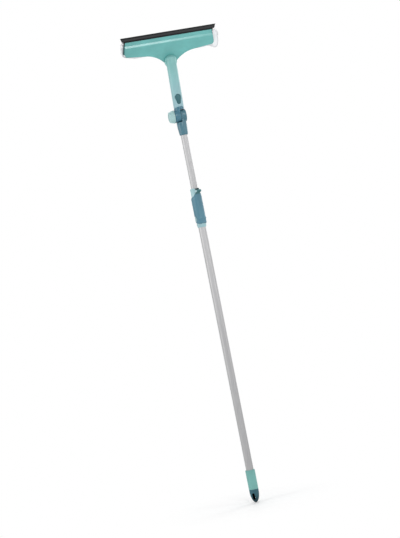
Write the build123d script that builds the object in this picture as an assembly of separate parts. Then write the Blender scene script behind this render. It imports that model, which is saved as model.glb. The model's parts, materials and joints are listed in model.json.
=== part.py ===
from build123d import *
import math
import os

# A window squeegee on a telescopic pole. Sizes are in millimetres and angles in degrees.
# Z runs up the pole to the head, X along the blade, and the head's front looks towards -Y.
# The zero point is on the pole's axis, at the middle of the grip.

# Fits
FIXED_GAP = 0.05
RUNNING_GAP = 0.06
MOVING_GAP = 0.4

# Pole tubes, grip and end cap
OUTER_TUBE_D = 25.0
INNER_TUBE_D = 22.0
TUBE_WALL = 0.8
GRIP_D = 31.6
GRIP_LENGTH = 64.0
GRIP_EDGE_R = 1.4
CAP_LENGTH = 44.0
CAP_SKIRT = 6.0
CAP_STEP = 0.25
ROUND_NOSE = 0.552
CAP_PLUG_LENGTH = 22.0
CAP_PLUG_WALL = 2.5
SLOT_LENGTH = 22.0
SLOT_WIDTH = 8.0
SLOT_RISE = 21.0
SLOT_TURN = 30.0

# Telescope: the tube shown at rest and the way it can run down into the lower tube
TUBE_SHOWN = 179.0
TUBE_DOWN_TRAVEL = 165.0
TUBE_END_ROOM = 11.0
GUIDE_FLANGE = 14.0
GUIDE_WALL = 2.8
GUIDE_SPIGOT = 20.0

# Lever clamp on the lower tube's top
CLAMP_RISE = 843.0
CLAMP_LENGTH = 129.0
CLAMP_TURN = 22.5
HOUSING_D = 30.0
HOUSING_EDGE_R = 1.5
RING_D = 32.4
RING_TAPER = 2.6
RING_HEIGHT = 10.0
TUBE_IN_CLAMP = 99.0
BUSH_FLANGE = 4.0
BUSH_SKIRT = 30.0
LEVER_RISE = 12.0
LEVER_WALL = 2.6
LEVER_GAP = 0.5
LEVER_BACK = 5.0
LEVER_SHOULDER = 14.5
LEVER_NOTCH_R = 9.5
LEVER_NOTCH_RISE = 16.0
LEVER_SLOPE = 8.0
LEVER_EDGE_R = 4.0
LEVER_CORNER_R = 7.0
LUG_GAP = 1.5
LUG_SINK = 0.4
RIDGE_RISE = 14.0
RIDGE_HEIGHT = 9.0
RIDGE_PROUD = 1.6
PIN_D = 3.5
PIN_OFFSET = 18.0
PIN_DROP = 10.0
LEVER_NECK_WIDTH = 19.2
KNUCKLE_WIDTH = 15.2
CAM_R = 4.5
CAM_OFFSET = 0.3
CHEEK_WIDTH = 2.0
CHEEK_R = 4.4
LEVER_ARM = 3.2
LEVER_ARM_SINK = 0.9
WINDOW_BELOW_PIN = 7.5
SHOE_WIDTH = 14.4
SHOE_BELOW_PIN = 6.0
SHOE_DROP = 1.0
SHOE_CAM_GAP = 0.2
RIVET_D = 3.2
RIVET_HEAD_D = 6.0
RIVET_HEAD = 1.1
RIVET_RISE = 19.0
RIVET_PITCH = 30.0

# Tilt joint: two discs side by side on a cross bolt, closed by a knob
HINGE_RISE = 64.0
DISC_D = 41.4
DISC_EDGE_R = 1.6
SOCKET_DISC = 17.5
YOKE_DISC = 19.0
FRICTION_DISC = 1.0
DISC_CLEARANCE = 0.8
SOCKET_BASE_D = 25.8
SOCKET_WAIST_D = 30.4
SOCKET_TOP_D = 32.4
SOCKET_WAIST_RISE = 16.0
SOCKET_TOP_RISE = 30.0
SOCKET_DEPTH = 35.0
SCREW_RISE = 17.0
BOLT_D = 8.0
BOLT_HEAD = 5.3
NUT_FLATS = 13.0
NUT_HEIGHT = 6.5
NUT_RECESS = 0.6
WASHER = 1.0
WASHER_D = 17.0
KNOB_BIG_D = 43.0
KNOB_SMALL_D = 34.0
KNOB_LENGTH = 17.0
KNOB_COLLAR = 3.0
KNOB_EDGE_R = 2.0
KNOB_FLUTES = 12
KNOB_FLUTE_R = 5.0
KNOB_FLUTE_DEPTH = 0.8
KNOB_HEAD_DEPTH = 9.5
KNOB_DISH_D = 22.0
KNOB_DISH = 1.2

# Yoke spigot, stem and release button
COLLAR_EDGE = 4.0
ARCH_RISE = 6.5
SPIGOT_D = 25.6
SPIGOT_WALL = 2.6
SPIGOT_LENGTH = 60.0
SPIGOT_FLOOR = 8.0
STEM_D = 33.4
STEM_ROOF = 6.0
BUTTON_RISE = 30.5
BUTTON_HEIGHT = 33.0
BUTTON_TOP_R = 9.8
BUTTON_LOW_R = 6.0
BUTTON_SINK = 0.5
BUTTON_BACK = 4.0
BUTTON_TRAVEL = 4.5
TAB_WIDTH = 10.0
TAB_LENGTH = 4.0
TAB_THICK = 2.5
SPRING_R = 3.6
SPRING_WIRE_R = 0.45
SPRING_TURNS = 5.0

# Head: tilted forward on the hinge, with a plate that stands behind the stem's axis by SEAT_BACK
HEAD_TILT = 8.0
HEAD_LEAN = 27.0
SEAT_RISE = 155.1
SEAT_BACK = 10.0
BOSS_D = 40.0
BOSS_FRONT = 2.0
BOSS_EDGE_R = 1.6
SHELL_TOP = 82.0
SHELL_OVERHANG = 2.0
SHELL_CREASE = 63.0
SHELL_CREASE_R = 5.0
SHELL_STEP = 5.3
SHELL_STEP_RISE = 6.8
SHELL_TOP_BACK = 5.7
SHELL_END_LOW = 33.3
SHELL_END_SPLAY = 5.5
SHELL_CORNER_R = 10.0
SHELL_DEPTH = 10.0
SHELL_WALL = 2.2
FLARE_WIDTH = 170.0
FLARE_START = 26.2
FLARE_NECK_WIDTH = 32.0
FLARE_LOW = -12.0
FLARE_BEND_UP_X = 58.0
FLARE_BEND_UP = 24.0
FLARE_BEND_LOW_X = 36.0
FLARE_BEND_LOW = 12.0
CARRIER_DEPTH = 8.0
CARRIER_PLATE = 3.0
CARRIER_WALL = 2.4
CARRIER_INSET = 2.0
WING_OVERHANG = 2.6
WING_LOW = 39.0
WING_HIGH = 69.0

# Blade, its channel and end caps: the channel's length sets the head's width
CHANNEL_LENGTH = 287.0
CHANNEL_FRONT = 7.2
CHANNEL_WIDTH = 7.6
CHANNEL_LOW = 70.0
CHANNEL_HIGH = 84.0
CHANNEL_WALL = 1.2
CHANNEL_LIP = 2.4
CHANNEL_MOUTH = 2.8
CAP_LOW_OVERHANG = 3.6
CAP_HIGH_OVERHANG = 7.0
CAP_EDGE_R = 0.7
BLADE_BASE_OVERHANG = 11.5
BLADE_BEAD_OVERHANG = 13.0
BLADE_LIP_OVERHANG = 16.8
BLADE_LIP = 98.9
BLADE_BASE_HIGH = 88.0
BLADE_BASE_WIDTH = 5.6
BLADE_BASE_EDGE = 0.8
BLADE_BEAD_FRONT = 6.0
BLADE_BEAD_HIGH = 93.5
BLADE_LIP_FRONT = 9.4
BLADE_LIP_THICK = 2.2
BLADE_TIP_FRONT = 7.6
BLADE_TIP_THICK = 1.2

# Pad at the back: hook strips, foam core and microfibre cover
HOOK_THICK = 1.2
HOOK_LOW = 37.0
HOOK_HIGH = 62.0
HOOK_INNER_X = 18.0
HOOK_SETBACK = 3.5
COVER_LOW = 13.0
COVER_HIGH = 76.0
COVER_LEFT_OVERHANG = 14.0
COVER_RIGHT_OVERHANG = 30.0
COVER_THICK = 15.8
COVER_CORNER_R = 16.0
COVER_CROWN = 2.4
COVER_BACK_R = 6.5
COVER_FRONT_R = 3.0
COVER_SKIN = 2.6
FOAM_OVERHANG = 6.5
FOAM_CORNER_R = 8.0

# Head screws
SCREW_D = 3.0
SCREW_HEAD_D = 6.4
SCREW_HEAD = 1.8
SCREW_DRIVE_D = 2.0
BOSS_WALL = 2.6
SHELL_SCREW_NEAR = 70.0
SHELL_SCREW_SETBACK = 11.5
SHELL_SCREW_U = 48.0
STEM_SCREW_X = 9.0
STEM_SCREW_U = 9.0
STEM_SCREW_GRIP = 8.0

# Heights and radii that follow from the sizes above
outer_r = OUTER_TUBE_D / 2
outer_bore_r = outer_r - TUBE_WALL
inner_r = INNER_TUBE_D / 2
inner_bore_r = inner_r - TUBE_WALL
grip_low = -GRIP_LENGTH / 2
grip_high = GRIP_LENGTH / 2
tip_z = grip_low - CAP_LENGTH
clamp_low = CLAMP_RISE
clamp_high = CLAMP_RISE + CLAMP_LENGTH
outer_top = clamp_low + TUBE_IN_CLAMP
pin_z = clamp_high - PIN_DROP
housing_r = HOUSING_D / 2
lever_in = housing_r + LEVER_GAP
lever_out = lever_in + LEVER_WALL
lever_low = clamp_low + LEVER_RISE
plug_top = grip_low + CAP_PLUG_LENGTH
guide_low = plug_top + TUBE_END_ROOM + TUBE_DOWN_TRAVEL
inner_low = guide_low + GUIDE_FLANGE
socket_low = clamp_high + TUBE_SHOWN
hinge_z = socket_low + HINGE_RISE
disc_r = DISC_D / 2
collar_low = hinge_z + disc_r + DISC_CLEARANCE
collar_high = collar_low + COLLAR_EDGE
stem_r = STEM_D / 2
spigot_r = SPIGOT_D / 2
spigot_bore_r = spigot_r - SPIGOT_WALL
stem_bore_r = spigot_r + FIXED_GAP
arch_r = (stem_r**2 + ARCH_RISE**2) / (2 * ARCH_RISE)
arch_z = collar_high + ARCH_RISE - arch_r
spigot_high = collar_high + SPIGOT_LENGTH
button_z = collar_high + BUTTON_RISE
seat_z = collar_high + SEAT_RISE
channel_half = CHANNEL_LENGTH / 2
shell_top_half = channel_half + SHELL_OVERHANG
shell_low_half = shell_top_half + SHELL_END_SPLAY
cover_left = -channel_half - COVER_LEFT_OVERHANG
cover_right = channel_half + COVER_RIGHT_OVERHANG
carrier_back = SHELL_DEPTH + CARRIER_DEPTH
plate_front = carrier_back - CARRIER_PLATE
cover_front = carrier_back + HOOK_THICK
bolt_r = BOLT_D / 2
yoke_left = -FRICTION_DISC / 2 - YOKE_DISC
knob_right = yoke_left - WASHER - 2 * FIXED_GAP
socket_right = FRICTION_DISC / 2 + SOCKET_DISC
nut_right = socket_right - NUT_RECESS

BASE = (Align.CENTER, Align.CENTER, Align.MIN)


def rod_z(radius, low, high):
    return Pos(0, 0, low) * Cylinder(radius, high - low, align=BASE)


def rod_x(radius, left, right, y=0.0, z=0.0):
    return Pos(left, y, z) * Rot(0, 90, 0) * Cylinder(radius, right - left, align=BASE)


def rod_y(radius, front, back, x=0.0, z=0.0):
    return Pos(x, front, z) * Rot(-90, 0, 0) * Cylinder(radius, back - front, align=BASE)


def block(left, right, front, back, low, high):
    middle = Pos((left + right) / 2, (front + back) / 2, (low + high) / 2)
    return middle * Box(right - left, back - front, high - low)


def prism_x(sketch, left, right):
    return extrude(Plane.YZ.offset(left) * sketch, amount=right - left)


def prism_y(sketch, front, back):
    return extrude(Plane.XZ.offset(-back) * sketch, amount=back - front)


def polygon(points):
    return make_face(Polyline(points, close=True))


def turned(points):
    return revolve(Plane.XZ * polygon(points), Axis.Z)


def hexagon_x(flats, left, right):
    hexagon = RegularPolygon(flats / 2, 6, major_radius=False)
    return Pos(0, 0, hinge_z) * prism_x(hexagon, left, right)


def at_clamp(shape):
    return Rot(0, 0, CLAMP_TURN) * shape


def tilted(shape):
    return Pos(0, 0, hinge_z) * Rot(HEAD_TILT, 0, 0) * Pos(0, 0, -hinge_z) * shape


def on_stem(shape):
    return Pos(0, 0, seat_z) * Rot(HEAD_LEAN, 0, 0) * Pos(0, SEAT_BACK, 0) * shape


def on_head(shape):
    return tilted(on_stem(shape))


def outer_tube():
    tube = rod_z(outer_r, grip_low, outer_top) - rod_z(outer_bore_r, grip_low, outer_top)
    return tube - at_clamp(rivet_shanks(RIVET_D / 2 + FIXED_GAP))


def grip_sleeve():
    sleeve = rod_z(GRIP_D / 2, grip_low, grip_high)
    sleeve = fillet(sleeve.edges().sort_by(Axis.Z)[-1], GRIP_EDGE_R)
    return sleeve - rod_z(outer_r + FIXED_GAP, grip_low, grip_high)


def end_cap():
    cap_r = GRIP_D / 2 - CAP_STEP
    nose_top = grip_low - CAP_SKIRT
    bend_r = ROUND_NOSE * cap_r
    bend_z = nose_top + ROUND_NOSE * (tip_z - nose_top)
    nose = Bezier((0, tip_z), (bend_r, tip_z), (cap_r, bend_z), (cap_r, nose_top))
    skirt = Polyline((cap_r, nose_top), (cap_r, grip_low), (0, grip_low), (0, tip_z))
    cap = revolve(Plane.XZ * make_face([nose, skirt]), Axis.Z)
    plug_r = outer_bore_r - FIXED_GAP
    cap += rod_z(plug_r, grip_low, plug_top)
    cap -= rod_z(plug_r - CAP_PLUG_WALL, grip_low, plug_top)
    slot = Rot(0, 0, 90) * SlotOverall(SLOT_LENGTH, SLOT_WIDTH)
    hole = Rot(0, 0, -SLOT_TURN) * prism_y(slot, -GRIP_D, GRIP_D)
    return cap - Pos(0, 0, tip_z + SLOT_RISE) * hole


def rivet_shanks(radius):
    low = rod_y(radius, outer_bore_r + FIXED_GAP, housing_r, z=clamp_low + RIVET_RISE)
    return low + Pos(0, 0, RIVET_PITCH) * low


def housing_rivets():
    head = rod_y(RIVET_HEAD_D / 2, housing_r, housing_r + RIVET_HEAD, z=clamp_low + RIVET_RISE)
    head = chamfer(head.edges().sort_by(Axis.Y)[-1], RIVET_HEAD / 2)
    heads = head + Pos(0, 0, RIVET_PITCH) * head
    return at_clamp(rivet_shanks(RIVET_D / 2) + heads)


def clamp_housing():
    ring_top = clamp_low + RING_HEIGHT
    ring_r = RING_D / 2
    body = rod_z(housing_r, ring_top, clamp_high)
    body = fillet(body.edges().sort_by(Axis.Z)[-1], HOUSING_EDGE_R)
    body += turned(
        [(0, clamp_low), (ring_r - RING_TAPER, clamp_low), (ring_r, ring_top), (0, ring_top)]
    )
    lug_out = lever_out - LUG_SINK
    lug_view = Pos(LEVER_BACK, lever_low + LEVER_NOTCH_RISE) * Circle(LEVER_NOTCH_R - LUG_GAP)
    lugs = prism_x(lug_view, -lug_out, lug_out)
    body += lugs & block(-lug_out, lug_out, -lug_out, LEVER_BACK, lever_low, clamp_high)
    cheek_in = KNUCKLE_WIDTH / 2 + MOVING_GAP
    cheek = rod_x(CHEEK_R, cheek_in, cheek_in + CHEEK_WIDTH, y=-PIN_OFFSET, z=pin_z)
    cheek_back = -inner_r + CHEEK_WIDTH
    cheek += block(
        cheek_in, cheek_in + CHEEK_WIDTH, -PIN_OFFSET, cheek_back, pin_z - CHEEK_R, pin_z + CHEEK_R
    )
    body += cheek + mirror(cheek, Plane.YZ)
    tube_seat = outer_top + BUSH_FLANGE + FIXED_GAP
    body -= rod_z(outer_r + FIXED_GAP, clamp_low, tube_seat)
    body -= rod_z(inner_r + MOVING_GAP, tube_seat, clamp_high)
    body -= block(
        -cheek_in, cheek_in, -2 * PIN_OFFSET, 0, pin_z - WINDOW_BELOW_PIN, clamp_high
    )
    body -= rod_x(PIN_D / 2, -PIN_OFFSET, PIN_OFFSET, y=-PIN_OFFSET, z=pin_z)
    seat = rod_y(RIVET_HEAD_D, housing_r, 2 * housing_r, z=clamp_low + RIVET_RISE)
    body -= seat + Pos(0, 0, RIVET_PITCH) * seat
    return at_clamp(body - rivet_shanks(RIVET_D / 2 + FIXED_GAP))


def lever_pin():
    reach = KNUCKLE_WIDTH / 2 + MOVING_GAP + CHEEK_WIDTH
    return at_clamp(rod_x(PIN_D / 2 - FIXED_GAP / 2, -reach, reach, y=-PIN_OFFSET, z=pin_z))


def pole_bush():
    bore_r = inner_r + RUNNING_GAP
    bush = rod_z(outer_r, outer_top, outer_top + BUSH_FLANGE)
    bush += rod_z(outer_bore_r - FIXED_GAP, outer_top - BUSH_SKIRT, outer_top)
    return bush - rod_z(bore_r, outer_top - BUSH_SKIRT, outer_top + BUSH_FLANGE)


def u_section(radius, back):
    front = Circle(radius) & Pos(0, -radius) * Rectangle(2 * radius, 2 * radius)
    return front + Pos(0, back / 2) * Rectangle(2 * radius, back)


def clamp_lever():
    neck = LEVER_NECK_WIDTH / 2
    cam_half = KNUCKLE_WIDTH / 2
    shoulder_high = pin_z - WINDOW_BELOW_PIN
    shoulder_low = shoulder_high - LEVER_SHOULDER
    height = shoulder_high - lever_low
    section = u_section(lever_out, LEVER_BACK) - u_section(lever_in, 2 * lever_out)
    shell = Pos(0, 0, lever_low) * extrude(section, amount=height)
    front_view = polygon(
        [
            (-lever_out, lever_low),
            (lever_out, lever_low),
            (lever_out, shoulder_low),
            (neck, shoulder_high),
            (-neck, shoulder_high),
            (-lever_out, shoulder_low),
        ]
    )
    front_view = fillet(front_view.vertices().sort_by(Axis.Y)[:2], LEVER_CORNER_R)
    side_view = polygon(
        [
            (-lever_out, lever_low),
            (0, lever_low),
            (LEVER_BACK, lever_low + LEVER_SLOPE),
            (LEVER_BACK, shoulder_low),
            (-LEVER_BACK, shoulder_high),
            (-lever_out, shoulder_high),
        ]
    )
    side_view = fillet(side_view.vertices().sort_by(Axis.Y)[:1], LEVER_EDGE_R)
    side_view -= Pos(LEVER_BACK, lever_low + LEVER_NOTCH_RISE) * Circle(LEVER_NOTCH_R)
    shell &= prism_y(front_view, -2 * lever_out, 2 * lever_out)
    shell &= prism_x(side_view, -2 * lever_out, 2 * lever_out)
    ridge_low = lever_low + RIDGE_RISE
    ridge_high = ridge_low + RIDGE_HEIGHT
    ridge = turned(
        [
            (lever_in, ridge_low),
            (lever_out, ridge_low),
            (lever_out + RIDGE_PROUD, ridge_low + RIDGE_PROUD),
            (lever_out, ridge_high),
            (lever_in, ridge_high),
        ]
    )
    ridge &= block(-lever_out, lever_out, -2 * lever_out, -lever_out / 2, ridge_low, ridge_high)
    arm_front = LEVER_ARM_SINK - lever_out
    arm_back = arm_front + LEVER_ARM
    arm = block(-cam_half, cam_half, arm_front, -lever_in, shoulder_low + neck, pin_z)
    arm += block(-cam_half, cam_half, arm_front, arm_back, shoulder_high + MOVING_GAP, pin_z)
    knuckle = rod_x(CAM_R, -cam_half, cam_half, y=CAM_OFFSET - PIN_OFFSET, z=pin_z)
    lever = shell + ridge + arm + knuckle
    pin_bore = rod_x(PIN_D / 2 + RUNNING_GAP, -cam_half, cam_half, y=-PIN_OFFSET, z=pin_z)
    return at_clamp(lever - pin_bore)


def brake_shoe():
    face_y = CAM_R + CAM_OFFSET + SHOE_CAM_GAP - PIN_OFFSET
    half = SHOE_WIDTH / 2
    shoe = block(-half, half, face_y, -half, pin_z - SHOE_BELOW_PIN, clamp_high - SHOE_DROP)
    tube_space = rod_z(inner_r + RUNNING_GAP, clamp_low, clamp_high)
    return at_clamp(shoe - tube_space)


def guide_bush():
    bush = rod_z(outer_bore_r - RUNNING_GAP, guide_low, inner_low - RUNNING_GAP)
    bush = chamfer(bush.edges().sort_by(Axis.Z)[0], TUBE_WALL)
    bush += rod_z(inner_bore_r - RUNNING_GAP, inner_low - RUNNING_GAP, inner_low + GUIDE_SPIGOT)
    return bush - rod_z(inner_bore_r - GUIDE_WALL, guide_low, inner_low + GUIDE_SPIGOT)


def inner_tube():
    top = socket_low + SOCKET_DEPTH
    tube = rod_z(inner_r, inner_low, top) - rod_z(inner_bore_r, inner_low, top)
    return tube - socket_screw_shank(SCREW_D / 2 + FIXED_GAP)


def socket_screw_shank(radius):
    return rod_y(radius, inner_bore_r + FIXED_GAP, SOCKET_WAIST_D / 2, z=socket_low + SCREW_RISE)


def socket_screw():
    head_back = SOCKET_WAIST_D / 2
    head_front = head_back - SCREW_HEAD
    head = rod_y(SCREW_HEAD_D / 2, head_front, head_back, z=socket_low + SCREW_RISE)
    drive = rod_y(SCREW_DRIVE_D / 2, head_front + SCREW_HEAD / 2, head_back, z=socket_low + SCREW_RISE)
    return socket_screw_shank(SCREW_D / 2) + head - drive


def tube_socket():
    base_r = SOCKET_BASE_D / 2
    waist_r = SOCKET_WAIST_D / 2
    top_r = SOCKET_TOP_D / 2
    waist_z = socket_low + SOCKET_WAIST_RISE
    top_z = socket_low + SOCKET_TOP_RISE
    roof_z = hinge_z - disc_r - DISC_CLEARANCE
    side = Spline((base_r, socket_low), (waist_r, waist_z), (top_r, top_z), tangents=((0.4, 1), (0, 1)))
    rest = Polyline((top_r, top_z), (top_r, roof_z), (0, roof_z), (0, socket_low), (base_r, socket_low))
    body = revolve(Plane.XZ * make_face([side, rest]), Axis.Z)
    disc = rod_x(disc_r, FRICTION_DISC / 2, socket_right, z=hinge_z)
    disc = fillet(disc.edges().sort_by(Axis.X)[-1], DISC_EDGE_R)
    neck = rod_z(top_r, roof_z, hinge_z) & block(
        FRICTION_DISC / 2, top_r, -top_r, top_r, roof_z, hinge_z
    )
    body += disc + neck
    body -= rod_x(bolt_r + RUNNING_GAP, -disc_r, disc_r, z=hinge_z)
    body -= hexagon_x(NUT_FLATS + 2 * FIXED_GAP, nut_right - NUT_HEIGHT, socket_right)
    body -= rod_z(inner_r + FIXED_GAP, socket_low, socket_low + SOCKET_DEPTH + FIXED_GAP)
    body -= socket_screw_shank(SCREW_D / 2 + FIXED_GAP)
    head_seat = SOCKET_WAIST_D / 2 - SCREW_HEAD
    return body - rod_y(SCREW_HEAD_D / 2 + FIXED_GAP, head_seat, SOCKET_TOP_D, z=socket_low + SCREW_RISE)


def tilt_nut():
    nut = hexagon_x(NUT_FLATS, nut_right - NUT_HEIGHT + FIXED_GAP, nut_right)
    return nut - rod_x(bolt_r + RUNNING_GAP, 0, socket_right, z=hinge_z)


def friction_washer():
    half = FRICTION_DISC / 2
    washer = rod_x(disc_r - DISC_EDGE_R, -half + RUNNING_GAP, half, z=hinge_z)
    return washer - rod_x(bolt_r + RUNNING_GAP, -half, half, z=hinge_z)


def knob_washer():
    washer = rod_x(WASHER_D / 2, knob_right + FIXED_GAP, yoke_left - FIXED_GAP, z=hinge_z)
    return washer - rod_x(bolt_r + FIXED_GAP, knob_right, yoke_left, z=hinge_z)


def knob_bolt():
    head_left = knob_right - KNOB_HEAD_DEPTH + FIXED_GAP
    head = hexagon_x(NUT_FLATS, head_left, head_left + BOLT_HEAD)
    shank = rod_x(bolt_r, head_left + BOLT_HEAD, nut_right, z=hinge_z)
    return head + shank


def knob_flute(turn):
    slope = math.degrees(math.atan2((KNOB_BIG_D - KNOB_SMALL_D) / 2, KNOB_LENGTH - KNOB_COLLAR))
    cutter = Rot(0, slope, 0) * rod_x(KNOB_FLUTE_R, -2 * KNOB_LENGTH, 2 * KNOB_LENGTH)
    rim = Pos(knob_right - KNOB_COLLAR, 0, KNOB_BIG_D / 2 + KNOB_FLUTE_R - KNOB_FLUTE_DEPTH)
    return Rot(turn, 0, 0) * (rim * cutter)


def tilt_knob():
    big_r = KNOB_BIG_D / 2
    small_r = KNOB_SMALL_D / 2
    end_x = knob_right - KNOB_LENGTH
    outline = polygon(
        [
            (knob_right, 0),
            (knob_right, big_r),
            (knob_right - KNOB_COLLAR, big_r),
            (end_x, small_r),
            (end_x, 0),
        ]
    )
    knob = revolve(outline, Axis.X)
    knob = fillet(knob.edges().filter_by(GeomType.CIRCLE).sort_by(Axis.X)[0], KNOB_EDGE_R)
    for index in range(KNOB_FLUTES):
        flute = knob_flute(index * 360 / KNOB_FLUTES)
        knob -= flute & block(end_x, knob_right - KNOB_COLLAR, -big_r, big_r, -big_r, big_r)
    knob -= rod_x(KNOB_DISH_D / 2, end_x, end_x + KNOB_DISH)
    knob = Pos(0, 0, hinge_z) * knob
    return knob - hexagon_x(NUT_FLATS + 2 * FIXED_GAP, knob_right - KNOB_HEAD_DEPTH, knob_right)


def tilt_yoke():
    right = -FRICTION_DISC / 2
    disc = rod_x(disc_r, yoke_left, right, z=hinge_z)
    disc = fillet(disc.edges().sort_by(Axis.X)[0], DISC_EDGE_R)
    neck = rod_z(stem_r, hinge_z, collar_high) & block(
        -stem_r, right, -stem_r, stem_r, hinge_z, collar_high
    )
    collar = rod_z(stem_r, collar_low, collar_high + ARCH_RISE)
    collar &= rod_y(arch_r, -STEM_D, STEM_D, z=arch_z)
    yoke = disc + neck + collar + rod_z(spigot_r, collar_low, spigot_high)
    yoke -= rod_x(bolt_r + RUNNING_GAP, 2 * yoke_left, -yoke_left, z=hinge_z)
    yoke -= rod_z(spigot_bore_r, collar_low + SPIGOT_FLOOR, spigot_high)
    return tilted(yoke - button_hole())


def button_outline(growth):
    low_z = button_z - BUTTON_HEIGHT / 2 + BUTTON_LOW_R
    high_z = button_z + BUTTON_HEIGHT / 2 - BUTTON_TOP_R
    low = Pos(0, low_z) * Circle(BUTTON_LOW_R + growth)
    high = Pos(0, high_z) * Circle(BUTTON_TOP_R + growth)
    return make_hull(low.edges() + high.edges())


def button_hole():
    return prism_y(button_outline(MOVING_GAP), -STEM_D, 0)


def release_button():
    face = rod_z(stem_r - BUTTON_SINK, collar_low, spigot_high)
    button = prism_y(button_outline(0), -STEM_D, -BUTTON_BACK) & face
    tab_low = button_z - BUTTON_HEIGHT / 2 - TAB_LENGTH
    tab_high = button_z + BUTTON_HEIGHT / 2 + TAB_LENGTH
    tab_front = MOVING_GAP - math.sqrt(spigot_bore_r**2 - (TAB_WIDTH / 2) ** 2)
    tab = block(-TAB_WIDTH / 2, TAB_WIDTH / 2, tab_front, tab_front + TAB_THICK, tab_low, tab_high)
    return tilted(button + tab)


def button_spring():
    start = -BUTTON_BACK + SPRING_WIRE_R + FIXED_GAP
    seat = math.sqrt(spigot_bore_r**2 - (SPRING_R + SPRING_WIRE_R) ** 2)
    length = seat - SPRING_WIRE_R - FIXED_GAP - start
    coil = Helix(length / SPRING_TURNS, length, SPRING_R)
    wire = sweep(Plane(origin=coil @ 0, z_dir=coil % 0) * Circle(SPRING_WIRE_R), path=coil)
    return tilted(Pos(0, start, button_z) * Rot(-90, 0, 0) * wire)


def stem():
    boss_r = BOSS_D / 2
    boss = rod_y(boss_r, -BOSS_FRONT, BOSS_D, z=seat_z)
    boss = fillet(boss.edges().sort_by(Axis.Y)[0], BOSS_EDGE_R)
    boss -= on_stem(block(-BOSS_D, BOSS_D, 0, 2 * BOSS_D, -BOSS_D, BOSS_D))
    body = rod_z(stem_r, collar_low, seat_z + BOSS_D)
    body &= rod_z(boss_r, collar_low, seat_z) + Pos(0, 0, seat_z) * Sphere(boss_r)
    seat_low = FLARE_LOW - MOVING_GAP
    body -= on_stem(block(-STEM_D, STEM_D, 0, BOSS_D, seat_low, BOSS_D))
    body += boss
    body -= rod_z(stem_bore_r, collar_low, seat_z - STEM_D - STEM_ROOF)
    body -= rod_y(arch_r + FIXED_GAP, -STEM_D, STEM_D, z=arch_z)
    body -= button_hole()
    return tilted(body - on_stem(stem_screw_holes(SCREW_D / 2 + FIXED_GAP)))


def shell_outline(inset):
    top = shell_top_half - inset
    low = shell_low_half - inset
    neck = FLARE_NECK_WIDTH / 2 - inset
    top_u = SHELL_TOP - inset
    end_u = SHELL_END_LOW + inset
    start = (FLARE_WIDTH / 2, FLARE_START + inset)
    bend_up = (FLARE_BEND_UP_X, FLARE_BEND_UP + inset)
    bend_low = (FLARE_BEND_LOW_X - inset, FLARE_BEND_LOW + inset)
    foot = (neck, FLARE_LOW + inset)
    path = [(top, top_u), (low, end_u), start, bend_up, bend_low, foot]
    other = [(-x, u) for x, u in path]
    edges = [
        Line(other[0], path[0]),
        Line(path[0], path[1]),
        Line(path[1], path[2]),
        Bezier(*path[2:]),
        Line(path[5], other[5]),
        Bezier(*reversed(other[2:])),
        Line(other[2], other[1]),
        Line(other[1], other[0]),
    ]
    outline = make_face(edges)
    corners = [v for v in outline.vertices() if abs(v.X) > low - FIXED_GAP]
    return fillet(corners, SHELL_CORNER_R - inset)


def shell_profile():
    low = FLARE_LOW - SHELL_DEPTH
    profile = polygon(
        [
            (0, low),
            (0, SHELL_CREASE),
            (SHELL_STEP, SHELL_CREASE + SHELL_STEP_RISE),
            (SHELL_TOP_BACK, SHELL_TOP),
            (SHELL_DEPTH, SHELL_TOP),
            (SHELL_DEPTH, low),
        ]
    )
    crease = profile.vertices().filter_by_position(Axis.X, 0, 0).sort_by(Axis.Y)[-1]
    return fillet(crease, SHELL_CREASE_R)


def screw_spots():
    far = channel_half - SHELL_SCREW_SETBACK
    return [(x, SHELL_SCREW_U) for x in (-far, -SHELL_SCREW_NEAR, SHELL_SCREW_NEAR, far)]


def stem_screw_spots():
    return [(-STEM_SCREW_X, STEM_SCREW_U), (STEM_SCREW_X, STEM_SCREW_U)]


def rods_y(radius, front, back, spots):
    rods = [rod_y(radius, front, back, x=x, z=u) for x, u in spots]
    return Part() + rods


def stem_screw_holes(radius):
    return rods_y(radius, -STEM_SCREW_GRIP, plate_front, stem_screw_spots())


def channel_seat(front, back):
    low = CHANNEL_LOW - FIXED_GAP
    return block(-shell_low_half, shell_low_half, front, back, low, 2 * SHELL_TOP)


def head_shell():
    depth = prism_x(shell_profile(), -shell_low_half, shell_low_half)
    hollow = Pos(0, SHELL_WALL, -SHELL_WALL) * depth
    shell = prism_y(shell_outline(0), 0, SHELL_DEPTH) & depth
    shell -= prism_y(shell_outline(SHELL_WALL), 0, SHELL_DEPTH) & hollow
    boss_r = SCREW_D / 2 + BOSS_WALL
    shell += rods_y(boss_r, SHELL_WALL / 2, plate_front - FIXED_GAP, screw_spots())
    shell += rods_y(boss_r, SHELL_WALL / 2, plate_front - FIXED_GAP, stem_screw_spots())
    shell -= channel_seat(CHANNEL_FRONT - FIXED_GAP, carrier_back)
    shell -= rods_y(SCREW_D / 2 + FIXED_GAP, SHELL_WALL, plate_front, screw_spots())
    return on_head(shell - stem_screw_holes(SCREW_D / 2 + FIXED_GAP))


def wing_edge(u):
    slope = (shell_low_half - shell_top_half) / (SHELL_TOP - SHELL_END_LOW)
    return shell_top_half + slope * (SHELL_TOP - u) + WING_OVERHANG


def carrier_form(inset, front, back):
    low = WING_LOW + inset
    high = WING_HIGH - inset
    low_half = wing_edge(low) - inset
    high_half = wing_edge(high) - inset
    wing = polygon([(-low_half, low), (low_half, low), (high_half, high), (-high_half, high)])
    return prism_y(shell_outline(CARRIER_INSET + inset), front, back) + prism_y(wing, front, back)


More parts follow.
